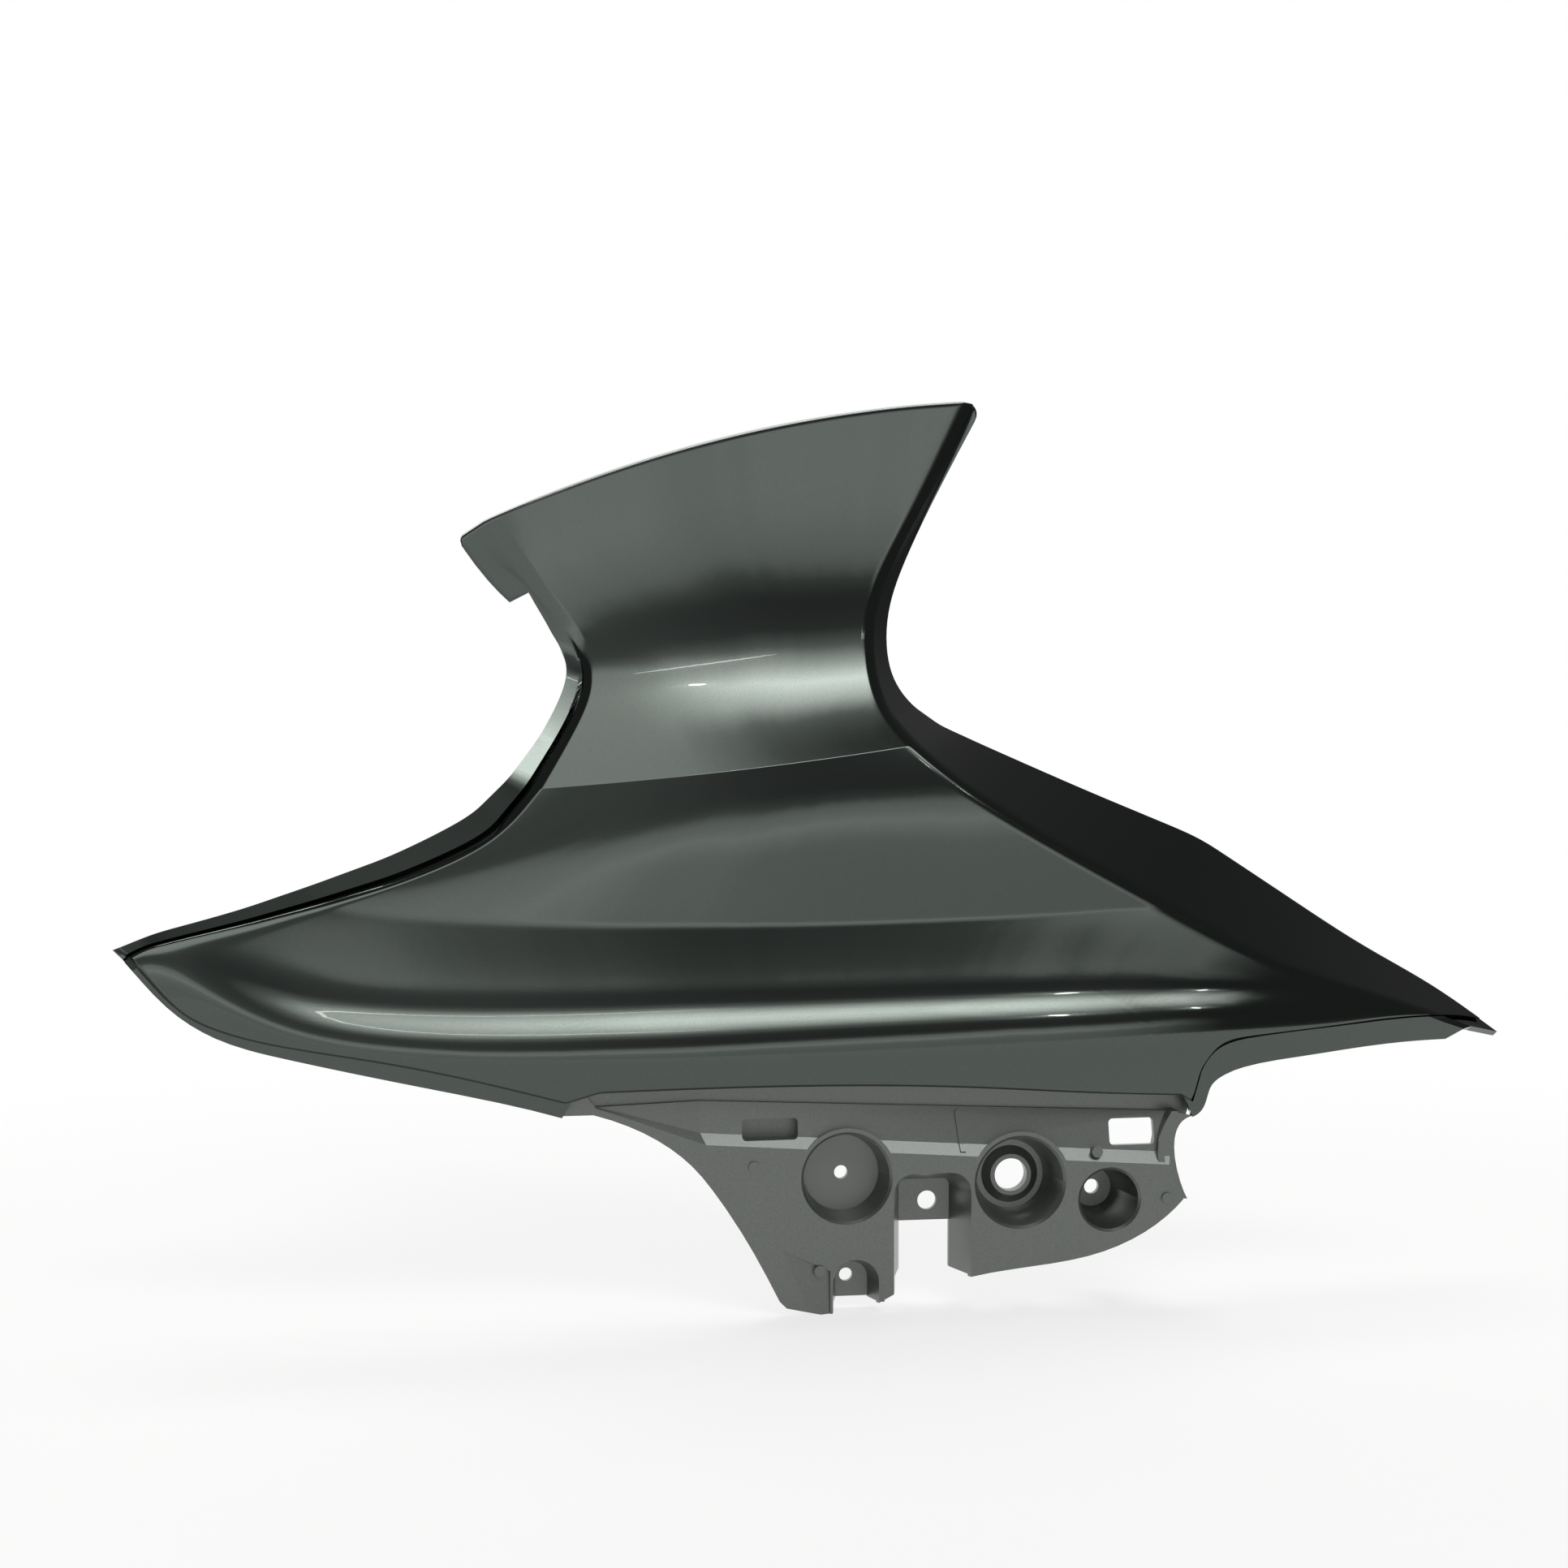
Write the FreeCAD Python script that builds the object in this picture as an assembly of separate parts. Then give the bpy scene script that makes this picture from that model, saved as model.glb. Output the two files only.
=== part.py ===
import FreeCAD, Part
import math
import os

V = FreeCAD.Vector

# Headlight fairing panel of a motorbike, one moulding. Millimetres, Z up, outside towards -Y.
# The origin is the screw hole of the first well, at the front of that well's floor.

# Wall and edges
WALL = 3.0                  # moulded wall
RIM = 2.4                   # distance over which the rims are broken
STEP_DRAFT = 1.6            # sideways run of the step between skin and left lip
TOP_ROLL = 5.0              # how far the top edge rolls back
TOP_RISE = 0.8              # height of that roll
LIP_DROP = 2.2              # how far the lower lips sit behind the skin
REACH = 450.0               # half size of cutters that pass through everything
OVER = 5.0                  # how far other cutters run past the surface they open

# Stations of the skin from the lower edge to the top edge.
# left rim (x, z), left lip edge (x, z), right rim (x, z), end wall edge (x, z),
# depth y in the middle, at the left rim, at the right rim, at the wall edge,
# bow down in the middle, step of the left lip
STATIONS = [
    ((-310.5, 101), (-316, 106), (296.5, 58.5), (315, 54), -17.5, -16.5, 5, 15, 75, 3),
    ((-304.5, 105), (-306, 110), (280, 63.5), (296, 68), -22.5, -16, 0, 16.5, 58, 3),
    ((-296.5, 107), (-298.5, 113), (261, 71.5), (278, 80), -31, -15, -5.5, 18, 56, 3.2),
    ((-284, 110), (-286, 116), (228, 81), (248, 96), -21.2, -14, -12, 20, 38, 3.4),
    ((-261, 115), (-263, 122), (193.5, 93), (214, 118.5), -17.6, -12.7, -15, 21.5, 29, 3.6),
    ((-229, 123), (-232, 132), (146.5, 118), (175, 147.5), -14.5, -11, -14.2, 23, 9, 3.8),
    ((-192, 134), (-196, 145), (92.5, 147), (115.5, 169.5), -14.2, -10.2, -14.2, 24, 3, 4),
    ((-156, 149), (-165, 160), (51.5, 173), (72, 188.5), -13.7, -8.7, -12.7, 24, 2, 4),
    ((-135, 173), (-146, 177), (30, 191.5), (48, 198.5), -12.6, -5.6, -9.6, 24.5, 2, 4),
    ((-121.5, 195.5), (-131.5, 196.5), (20.5, 206), (36, 208.5), 1.7, 7.6, 3.7, 25.5, 2, 4),
    ((-110.5, 215), (-120.5, 216), (16, 223), (26, 222), 11.7, 15.7, 13.2, 27, 2, 3.5),
    ((-111.5, 231), (-118.5, 230), (16, 248), (25, 248), 19, 21, 20.5, 29, 0, 2.5),
    ((-123, 248), (-132, 245), (25, 272.5), (33.5, 272.5), 22, 23.5, 23, 29, -2, 1.5),
    ((-140, 267.5), (-153, 259), (43, 301.5), (48.5, 303.5), 23.2, 24.7, 24.2, 28, -4, 1.5),
    ((-155.5, 290.5), (-167.5, 282.5), (62.5, 345.5), (69.5, 343), 23.7, 25.2, 24.7, 27, -11.5, 1.5),
]
FAN_LEAN = (5, 5, 1, 1, 1)  # stations that fan out from the left tip: how late each one rises again
FAN_ONSET = 14              # how soon the fan drops away from the left tip
FAN_POWERS = (8, 12)        # how close to each rim the depth turns, fan and body
BODY_POWERS = (3, 3)
SKIN_SPLITS = [0, 5, 9, 12] # knots where the skin is split: ridge, neck, blade
ACROSS = (0.06, 0.15, 0.33, 0.55, 0.77, 0.90)   # where the skin is steered between the rims
RIM_POINTS = 7              # control points of a station beside those

# Lower edge of the skin, x and z
CREST_LEFT = [(-322, 112), (-307, 100), (-286, 78), (-272, 71), (-244, 63.7), (-206, 57),
              (-171, 49.5), (-124.5, 37)]
CREST_MIDDLE = [(-110, 41.5), (-67, 42.3), (53, 40), (124, 35), (152.5, 33.6)]
CREST_CORNER = (157, 30.5)
CREST_RIGHT = [(160, 44.4), (169, 55.6), (184.5, 59.4), (228, 62.7), (302, 61.3), (325, 54)]
LIP_LEFT = [(-318, 108), (-309, 99), (-300.5, 89), (-290.5, 79), (-272, 67.4), (-244, 58.8),
            (-185.5, 45.4), (-126, 30.5)]
LIP_RIGHT = [(158, 23), (163.5, 28.7), (166, 37.5), (172.4, 42.5), (185, 46.3), (209, 49.2),
             (250, 52.6), (295, 52.7), (322, 51)]

LIP_LEFT_UNDER = (5, 9)     # how far the lip strips run under the skin, x and z
LIP_RIGHT_UNDER = (-7, 16)

# Fixing plate, facet and groove behind the lower edge
PLATE_Y = -16.0             # front of the plate
FACET_LOW = 3.0             # depth of the facet's lower edge behind the plate
FACET_TOP = 8.5             # depth of its upper edge at the right end
GROOVE_FLOOR = 10.0         # depth of the groove at the right end
# Lines of groove, facet and ledge: left end, bend, right end, each x, depth behind the plate, z
FACET_HIGH_LINE = [(-110, 0.5, 34.5), (-65, 3.5, 35.6), (151.5, FACET_TOP, 25)]
FACET_LOW_LINE = [(-110.5, 0.4, 34.4), (-65, FACET_LOW, 21.5), (148, FACET_LOW, 7.3)]
PLATE_LINE = [(-110.8, 0, 33.9), (-62.7, 0, 16.6), (147, 0, 2)]
GROOVE_LOW_LINE = [(-119, 1.8, 32), (-65, 5, 33), (157.5, GROOVE_FLOOR, 23.2)]
GROOVE_HIGH_LINE = [(-119, 1.8, 45), (-65, 5, 45), (162, GROOVE_FLOOR, 36.5)]
RETURN_SEAT = 0.6           # the groove's return wall starts this far inside the skin
PLATE_LEFT = [(-112, 31), (-100, 27), (-85, 19.7), (-68, 6.4), (-59, -4.7), (-41, -33), (-30, -54)]
PLATE_ROOT = [(-118, 43), (-134, 43), (-127, 31)]   # where the plate joins the skin on the left
PLATE_FOOT = [(-27, -57), (-11.5, -60.4), (-6, -60), (14.4, -56), (22, -52), (56.5, -45.7)]
PLATE_RIGHT = [(56.5, -45.7), (89.5, -41.4), (114.5, -37), (129, -31.7), (153.6, -13.9)]
EDGE_INNER = [(153.6, -13.9), (144.8, 6.0), (151, 26)]
EDGE_OUTER = [(156, -14.0), (150, 5.6), (154, 21.6), (158.5, 23.5)]
EDGE_DROP = 2.0             # the rolled right edge sits this far behind the plate
EDGE_SEAT = 0.5             # the groove's right wall starts this far inside the plate

# Wells: centre x, z, mouth radius, floor radius, depth, hole radius
WELL_1 = (0.0, 0.0, 19.4, 17.0, 16.0, 3.05)
WELL_2 = (78.5, -4.0, 19.8, 15.5, 22.0, 7.4)
WELL_3 = (119.5, -13.0, 13.4, 9.0, 32.0, 3.4)
WELL_EDGE = 1.2             # rounding of each well's mouth
BOSS = (13.0, 9.4, 3.0)     # raised seat in the second well: base radius, top radius, height

# Arched recesses: centre x, half width, top z, corner radius, inset of the floor, depth,
# lower edge z of the tab left in the floor, lower edge z of the side walls
RECESS_1 = (4.0, 10.4, -36.4, 10.2, 3.2, 12.0, -55.0, -55.5)
RECESS_2 = (38.6, 17.5, 1.2, 9.0, 6.0, 20.0, -23.5, -45.0)
RECESS_WALL = 2.5
TAB_HOLE_1 = (1.5, -45.3, 3.0)      # x, z, radius
TAB_HOLE_2 = (40.0, -14.6, 4.3)

# Slots, rib, pips, wedge shaped facet, hook
SLOT_BLIND = (-34.0, 22.3, 25.0, 9.4)       # centre x, z, length, height
SLOT_OPEN = (130.7, 16.6, 20.8, 11.6)
SLOT_DEPTH = 9.0
SLOT_SEAT = 2.0             # the blind slot's walls start this far behind the facet
SLOT_CORNER = 2.0
RIB_TOP = (50.7, 27.3)      # rib across facet and ledge: upper end, lower end
RIB_LOW = (52.6, 10.5)
RIB_WIDTH = 2.5
RIB_HEIGHT = 1.0
PIPS = [(-41.5, 6.3), (113.5, 8.8), (146, -13.0), (-12.3, -40.8)]
PIP_RADIUS = 2.5
PIP_HEIGHT = 1.0
WEDGE = [(-29, -31), (-7.5, -41), (-7.5, -62), (-15.5, -62)]
WEDGE_DEPTH = 1.8
HOOK_CUT = [(-144, 252.5), (-141.5, 259.6), (-120, 236), (-128, 226), (-148, 244)]


def section(index, rise=0.0, back=0.0):
    # Control points of one station, from the lip's edge on the left to the wall's edge on the right.
    (xl, zl), (xa, za), (xr, zr), (xe, ze), mid, yl, yr, ye, bow, step = STATIONS[index]
    fanned = index < len(FAN_LEAN)
    left_power, right_power = FAN_POWERS if fanned else BODY_POWERS

    def main(u):
        if fanned:
            shape = (1 - (1 - u) ** FAN_ONSET) * (1 - u ** FAN_LEAN[index])
        else:
            shape = 4 * u * (1 - u)
        y = mid + (yl - mid) * (1 - u) ** left_power + (yr - mid) * u ** right_power
        return V(xl + (xr - xl) * u, y, zl + (zr - zl) * u - bow * shape)

    span = V(xr - xl, 0, zr - zl).Length
    out = V(xa - xl, 0, za - zl)
    out.normalize()
    edge = V(xa, yl + step, za)
    foot = V(xl, yl + step, zl) + out * STEP_DRAFT
    brow = main(0) + (foot - main(0)) * 0.4
    wall = V(xe, ye, ze)
    run = wall - main(1)
    turn = main(1) + run * min(RIM / run.Length, 0.4)
    points = [edge, foot, brow, main(RIM / span)]
    points += [main(u) for u in ACROSS]
    points += [main(1 - RIM / span), turn, wall]
    return [p + V(0, back, rise) for p in points]


def net_outer():
    last = len(STATIONS) - 1
    net = [section(i) for i in range(last)]
    net.append(section(last, -TOP_RISE, 0.0))
    net.append(section(last, 0.0, TOP_ROLL))
    return net


def net_offset(net, distance):
    # The same net moved to the inside, mitred at every bend so that the wall keeps its thickness.
    moved = []
    for i, row in enumerate(net):
        low = net[max(i - 1, 0)]
        high = net[min(i + 1, len(net) - 1)]
        new = []
        for j, point in enumerate(row):
            along = high[j] - low[j]
            sides = []
            for a, b in ((j - 1, j), (j, j + 1)):
                if a < 0 or b >= len(row):
                    continue
                normal = (row[b] - row[a]).cross(along)
                normal.normalize()
                sides.append(normal if normal.y > 0 else normal * -1)
            n1, n2 = sides[0], sides[-1]
            new.append(point + (n1 + n2) * (distance / (1 + n1.dot(n2))))
        moved.append(new)
    return moved


def spread(count):
    # Degree, knots and their counts: ruled between two control points, cubic through more.
    degree = 1 if count == 2 else 3
    inner = count - degree - 1
    return degree, [float(k) for k in range(inner + 2)], [degree + 1] + [1] * inner + [degree + 1]


def patch(net):
    # Faces of one surface; a surface that runs over all stations is split at the ridge and the neck.
    degree_u, knots_u, counts_u = spread(len(net))
    degree_v, knots_v, counts_v = spread(len(net[0]))
    surface = Part.BSplineSurface()
    surface.buildFromPolesMultsKnots(net, counts_u, counts_v, knots_u, knots_v, False, False,
                                     degree_u, degree_v)
    splits_u = SKIN_SPLITS if len(net) == len(STATIONS) else [0, knots_u[-1]]
    splits_v = SKIN_SPLITS if len(net[0]) == len(STATIONS) else [0, knots_v[-1]]
    faces = []
    for u0, u1 in zip(splits_u, splits_u[1:]):
        for v0, v1 in zip(splits_v, splits_v[1:]):
            piece = surface.copy()
            piece.segment(u0, u1, v0, v1)
            faces.append(piece.toShape())
    return faces


def shell_solid(outer, inner):
    # Every strip of the outside and of the inside, then the narrow faces that close the edges.
    across = len(ACROSS) + RIM_POINTS
    strips = [(0, 1), (1, 2), (2, 3), (3, across - 3), (across - 3, across - 2), (across - 2, across - 1)]
    bands = [(0, len(outer) - 2), (len(outer) - 2, len(outer) - 1)]
    front = []
    faces = []
    for c0, c1 in strips:
        for r0, r1 in bands:
            front += patch([row[c0:c1 + 1] for row in outer[r0:r1 + 1]])
            faces += patch([row[c0:c1 + 1] for row in inner[r0:r1 + 1]])
        for end in (0, -1):
            faces += patch([outer[end][c0:c1 + 1], inner[end][c0:c1 + 1]])
    for r0, r1 in bands:
        for end in (0, -1):
            faces += patch([[row[end] for row in outer[r0:r1 + 1]],
                            [row[end] for row in inner[r0:r1 + 1]]])
    shell = Part.Shell(front + faces)
    shell.sewShape()
    solid = Part.Solid(shell)
    if solid.Volume < 0:
        solid.reverse()
    return Part.Compound(front), solid


def curve(points, y):
    line = Part.BSplineCurve()
    line.interpolate([V(x, y, z) for x, z in points])
    return line.toShape()


def straight(points, y):
    corners = [V(x, y, z) for x, z in points]
    return [Part.makeLine(a, b) for a, b in zip(corners, corners[1:])]


def prism(edges, y0, y1):
    return Part.Face(Part.Wire(edges)).extrude(V(0, y1 - y0, 0))


def shifted(points, dx, dz):
    return [(x + dx, z + dz) for x, z in points]


def band(points, dx, dz, y0, y1):
    # Strip between a curve and the same curve moved over.
    other = shifted(points, dx, dz)
    edges = [curve(points, y0)]
    edges += straight([points[-1], other[-1]], y0)
    edges.append(curve(other[::-1], y0))
    edges += straight([other[0], points[0]], y0)
    return prism(edges, y0, y1)


def slab(upper, lower):
    # Ruled patch between two lines given behind the plate, as thick as the wall.
    a, b, c, d = [V(x, PLATE_Y + depth, z) for x, depth, z in (*upper, *lower)]
    face = Part.makeRuledSurface(Part.makeLine(a, b), Part.makeLine(c, d))
    return face.extrude(V(0, WALL, 0))


def drill(x, z, radius, y0, y1):
    return Part.makeCylinder(radius, y1 - y0, V(x, y0, z), V(0, 1, 0))


def turned(x, z, profile):
    # Solid of revolution about a line along Y, from radius and depth pairs.
    corners = [V(x + r, y, z) for r, y in profile]
    face = Part.Face(Part.makePolygon(corners + corners[:1]))
    return face.revolve(V(x, 0, z), V(0, 1, 0), 360)


def well(spec):
    # Outside, hollow and hole of a round well.
    x, z, mouth, floor, depth, hole = spec
    back = PLATE_Y + depth
    outside = turned(x, z, [(0, PLATE_Y), (mouth + WALL, PLATE_Y), (floor + WALL, back + WALL),
                            (0, back + WALL)])
    inside = turned(x, z, [(0, PLATE_Y - WELL_EDGE), (mouth + 2 * WELL_EDGE, PLATE_Y - WELL_EDGE),
                           (mouth, PLATE_Y + WELL_EDGE), (floor, back), (0, back)])
    return outside, inside, drill(x, z, hole, PLATE_Y - OVER, back + WALL + OVER)


def arch(x, half, top, corner, bottom, y):
    left, right = x - half, x + half
    k = corner * (1 - math.sqrt(0.5))
    a1 = Part.Arc(V(left, y, top - corner), V(left + k, y, top - k), V(left + corner, y, top))
    a2 = Part.Arc(V(right - corner, y, top), V(right - k, y, top - k), V(right, y, top - corner))
    edges = straight([(left, bottom), (left, top - corner)], y) + [a1.toShape()]
    edges += straight([(left + corner, top), (right - corner, top)], y) + [a2.toShape()]
    edges += straight([(right, top - corner), (right, bottom), (left, bottom)], y)
    return Part.Wire(edges)


def recess(spec):
    # Outside, hollow and floor cut of a tapered arched pocket that is open below.
    x, half, top, corner, inset, depth, tab, bottom = spec
    back = PLATE_Y + depth
    w = RECESS_WALL
    fine = corner - inset
    flare = OVER * inset / depth
    low = bottom - REACH
    outside = Part.makeLoft([arch(x, half + w, top + w, corner + w, bottom, PLATE_Y),
                             arch(x, half - inset + w, top - inset + w, fine + w, bottom, back + w)],
                            True, True)
    inside = Part.makeLoft([arch(x, half + flare, top + flare, corner + flare, low, PLATE_Y - OVER),
                            arch(x, half - inset, top - inset, fine, low, back)], True, True)
    below = Part.makeBox(2 * (half - inset), w + 2 * OVER, REACH,
                         V(x - half + inset, back - OVER, tab - REACH))
    return outside, inside, below


def rounded_box(spec, y0, y1, grow):
    x, z, length, height = spec
    box = Part.makeBox(length + 2 * grow, y1 - y0, height + 2 * grow,
                       V(x - length / 2 - grow, y0, z - height / 2 - grow))
    upright = [e for e in box.Edges if abs(e.tangentAt(e.FirstParameter).y) > 0.9]
    return box.makeFillet(SLOT_CORNER, upright)


def wedge(corners, depth):
    # Cutter for a flat facet that starts at the line first-last and reaches its depth at the second.
    a, b, c, d = [V(x, PLATE_Y, z) for x, z in corners]
    side = (d - a).cross(V(0, 1, 0))
    slope = depth / (b - a).dot(side)
    b, c = [p + V(0, slope * (p - a).dot(side), 0) for p in (b, c)]
    return Part.Face(Part.makePolygon([a, b, c, d, a])).extrude(V(0, -OVER, 0))


# Skin, trimmed along its lower edge
outer_net = net_outer()
skin_face, skin = shell_solid(outer_net, net_offset(outer_net, WALL))
edges = [curve(CREST_LEFT, -REACH)]
edges += straight([CREST_LEFT[-1], CREST_MIDDLE[0]], -REACH)
edges.append(curve(CREST_MIDDLE, -REACH))
edges += straight([CREST_MIDDLE[-1], CREST_CORNER, CREST_RIGHT[0]], -REACH)
edges.append(curve(CREST_RIGHT, -REACH))
edges += straight([CREST_RIGHT[-1], (REACH, CREST_RIGHT[-1][1]), (REACH, REACH), (-REACH, REACH),
                   (-REACH, CREST_LEFT[0][1]), CREST_LEFT[0]], -REACH)
body = skin.common(prism(edges, -REACH, REACH))
body = body.cut(prism(straight(HOOK_CUT + HOOK_CUT[:1], -REACH), -REACH, REACH))

# Lower lips: the skin set back, kept as a strip along each lower edge
behind = skin.translated(V(0, LIP_DROP, 0))
pieces = [behind.common(band(LIP_LEFT, *LIP_LEFT_UNDER, -REACH, REACH))]
pieces.append(behind.common(band(LIP_RIGHT, *LIP_RIGHT_UNDER, -REACH, REACH)))

# Return wall of the groove, which starts inside the skin
depths = []
for x, z in CREST_MIDDLE:
    probe = Part.makeLine(V(x, -REACH, z + WALL / 2), V(x, REACH, z + WALL / 2))
    depths.append(probe.distToShape(skin_face)[1][0][0].y)
pieces.append(band(CREST_MIDDLE, 0, WALL, max(depths) + RETURN_SEAT, PLATE_Y + GROOVE_FLOOR + WALL))

# Facet, ledge and groove floor: each has a short left part and a long right part
ramp = []
floor = []
for k in (0, 1):
    ramp.append(slab(FACET_HIGH_LINE[k:k + 2], FACET_LOW_LINE[k:k + 2]))
    ramp.append(slab(FACET_LOW_LINE[k:k + 2], PLATE_LINE[k:k + 2]))
    floor.append(slab(GROOVE_HIGH_LINE[k:k + 2], GROOVE_LOW_LINE[k:k + 2]))
pieces += ramp + floor

# Rib that follows facet and ledge, with a round upper end
half = RIB_WIDTH / 2
rib = prism(straight([(RIB_TOP[0] - half, RIB_TOP[1]), (RIB_TOP[0] + half, RIB_TOP[1]),
                      (RIB_LOW[0] + half, RIB_LOW[1]), (RIB_LOW[0] - half, RIB_LOW[1]),
                      (RIB_TOP[0] - half, RIB_TOP[1])], -REACH), -REACH, REACH)
rib = rib.fuse(drill(*RIB_TOP, half, -REACH, REACH))
for piece in ramp[2:]:
    pieces.append(rib.common(piece.translated(V(0, -RIB_HEIGHT, 0))))

# Plate with its rolled right edge
front = PLATE_Y
edges = [curve(PLATE_LEFT, front)] + straight(PLATE_LEFT[-1:] + PLATE_FOOT, front)
edges.append(curve(PLATE_RIGHT, front))
ledge = [(x, z) for x, depth, z in PLATE_LINE[::-1]]
edges += straight(PLATE_RIGHT[-1:] + ledge + PLATE_ROOT + PLATE_LEFT[:1], front)
pieces.append(prism(edges, front, front + WALL))
low = front + EDGE_DROP
inside_line = shifted(EDGE_INNER, -WALL, 0)[::-1]
edges = [curve(EDGE_OUTER, low)] + straight([EDGE_OUTER[-1], inside_line[0]], low)
edges.append(curve(inside_line, low))
edges += straight([inside_line[-1], EDGE_OUTER[0]], low)
pieces.append(prism(edges, low, low + WALL))
pieces.append(band(EDGE_INNER, -WALL, 0, front + EDGE_SEAT, front + GROOVE_FLOOR + WALL))

# Wells, recesses and slots add their walls, then their hollows are cut
hollows = [wedge(WEDGE, WEDGE_DEPTH)]
holes = []
for spec in (WELL_1, WELL_2, WELL_3):
    outside, inside, hole = well(spec)
    pieces.append(outside)
    hollows.append(inside)
    holes.append(hole)
for spec in (RECESS_1, RECESS_2):
    outside, inside, below = recess(spec)
    pieces.append(outside)
    hollows += [inside, below]
slot_floor = PLATE_Y + FACET_LOW + SLOT_DEPTH
pieces.append(rounded_box(SLOT_BLIND, PLATE_Y + FACET_LOW + SLOT_SEAT, slot_floor + WALL, RECESS_WALL))
hollows.append(rounded_box(SLOT_BLIND, PLATE_Y - OVER, slot_floor, 0))
hollows.append(rounded_box(SLOT_OPEN, PLATE_Y - OVER, slot_floor + REACH, 0))
body = body.fuse(pieces).cut(hollows)

# Boss and pips stand on the finished surfaces; the holes go through last
x, z, mouth, floor_radius, depth, hole = WELL_2
base, crown, height = BOSS
seat = PLATE_Y + depth
extra = [turned(x, z, [(0, seat - height), (crown, seat - height), (base, seat), (base, seat + WALL / 2),
                       (0, seat + WALL / 2)])]
for x, z in PIPS:
    extra.append(drill(x, z, PIP_RADIUS, PLATE_Y - PIP_HEIGHT, PLATE_Y + WALL))
for x, z, radius in (TAB_HOLE_1, TAB_HOLE_2):
    holes.append(drill(x, z, radius, PLATE_Y, PLATE_Y + REACH))
part = body.fuse(extra).cut(holes).Solids[0]

os.makedirs("parts", exist_ok=True)
part.exportStep("parts/fairing_panel.step")
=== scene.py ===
# Headlight fairing panel: one glossy moulding with a satin fixing flange, on a pale studio floor.
import math

import bpy
import numpy as np
from mathutils import Matrix, Vector
from mathutils.bvhtree import BVHTree


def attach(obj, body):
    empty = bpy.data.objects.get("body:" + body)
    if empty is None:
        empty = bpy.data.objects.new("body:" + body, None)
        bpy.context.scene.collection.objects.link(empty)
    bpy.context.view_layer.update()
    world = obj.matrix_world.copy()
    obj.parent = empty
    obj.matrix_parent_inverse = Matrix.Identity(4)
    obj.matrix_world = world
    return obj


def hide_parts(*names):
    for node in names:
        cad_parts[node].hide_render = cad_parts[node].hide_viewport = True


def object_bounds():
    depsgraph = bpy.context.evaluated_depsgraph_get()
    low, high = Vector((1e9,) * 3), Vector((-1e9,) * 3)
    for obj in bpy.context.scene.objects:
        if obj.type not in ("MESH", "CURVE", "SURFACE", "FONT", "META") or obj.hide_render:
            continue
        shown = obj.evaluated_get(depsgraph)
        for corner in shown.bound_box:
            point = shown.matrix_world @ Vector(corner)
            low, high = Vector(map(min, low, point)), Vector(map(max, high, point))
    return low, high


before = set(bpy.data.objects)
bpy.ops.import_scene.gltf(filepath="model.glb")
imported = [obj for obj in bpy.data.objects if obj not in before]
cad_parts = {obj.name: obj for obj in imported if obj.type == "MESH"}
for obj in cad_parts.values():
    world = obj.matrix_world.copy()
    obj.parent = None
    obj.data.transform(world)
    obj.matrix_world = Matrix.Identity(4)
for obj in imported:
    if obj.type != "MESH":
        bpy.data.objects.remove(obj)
cad_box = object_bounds()

MM = 0.001
TINY = 1e-6                 # keeps a division away from zero
DEGREE = 3                  # of the skin's B-splines
LAST_GAP = 1e-9             # keeps a parameter inside the last span of its curve

# ---------------------------------------------------------------- sizes, in millimetres

# The skin has the CAD source's own stations and edges.
WALL = 3.0
RIM = 2.4                   # the rims' rounding starts this far from them
STEP_DRAFT = 1.6            # how far the left lip's step leans out
BROW = 0.4                  # where that step turns, as a share of its way down
TURN_LIMIT = 0.4            # the turn into the end wall takes up no more than this share of it
TOP_ROLL = 5.0
TOP_RISE = 0.8
# left rim (x, z), left lip edge (x, z), right rim (x, z), end wall edge (x, z),
# depth y in the middle, at the left rim, at the right rim, at the wall edge,
# bow down in the middle, step of the left lip
STATIONS = [
    ((-310.5, 101), (-316, 106), (296.5, 58.5), (315, 54), -17.5, -16.5, 5, 15, 75, 3),
    ((-304.5, 105), (-306, 110), (280, 63.5), (296, 68), -22.5, -16, 0, 16.5, 58, 3),
    ((-296.5, 107), (-298.5, 113), (261, 71.5), (278, 80), -31, -15, -5.5, 18, 56, 3.2),
    ((-284, 110), (-286, 116), (228, 81), (248, 96), -21.2, -14, -12, 20, 38, 3.4),
    ((-261, 115), (-263, 122), (193.5, 93), (214, 118.5), -17.6, -12.7, -15, 21.5, 29, 3.6),
    ((-229, 123), (-232, 132), (146.5, 118), (175, 147.5), -14.5, -11, -14.2, 23, 9, 3.8),
    ((-192, 134), (-196, 145), (92.5, 147), (115.5, 169.5), -14.2, -10.2, -14.2, 24, 3, 4),
    ((-156, 149), (-165, 160), (51.5, 173), (72, 188.5), -13.7, -8.7, -12.7, 24, 2, 4),
    ((-135, 173), (-146, 177), (30, 191.5), (48, 198.5), -12.6, -5.6, -9.6, 24.5, 2, 4),
    ((-121.5, 195.5), (-131.5, 196.5), (20.5, 206), (36, 208.5), 1.7, 7.6, 3.7, 25.5, 2, 4),
    ((-110.5, 215), (-120.5, 216), (16, 223), (26, 222), 11.7, 15.7, 13.2, 27, 2, 3.5),
    ((-111.5, 231), (-118.5, 230), (16, 248), (25, 248), 19, 21, 20.5, 29, 0, 2.5),
    ((-123, 248), (-132, 245), (25, 272.5), (33.5, 272.5), 22, 23.5, 23, 29, -2, 1.5),
    ((-140, 267.5), (-153, 259), (43, 301.5), (48.5, 303.5), 23.2, 24.7, 24.2, 28, -4, 1.5),
    ((-155.5, 290.5), (-167.5, 282.5), (62.5, 345.5), (69.5, 343), 23.7, 25.2, 24.7, 27, -11.5, 1.5),
]
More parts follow.
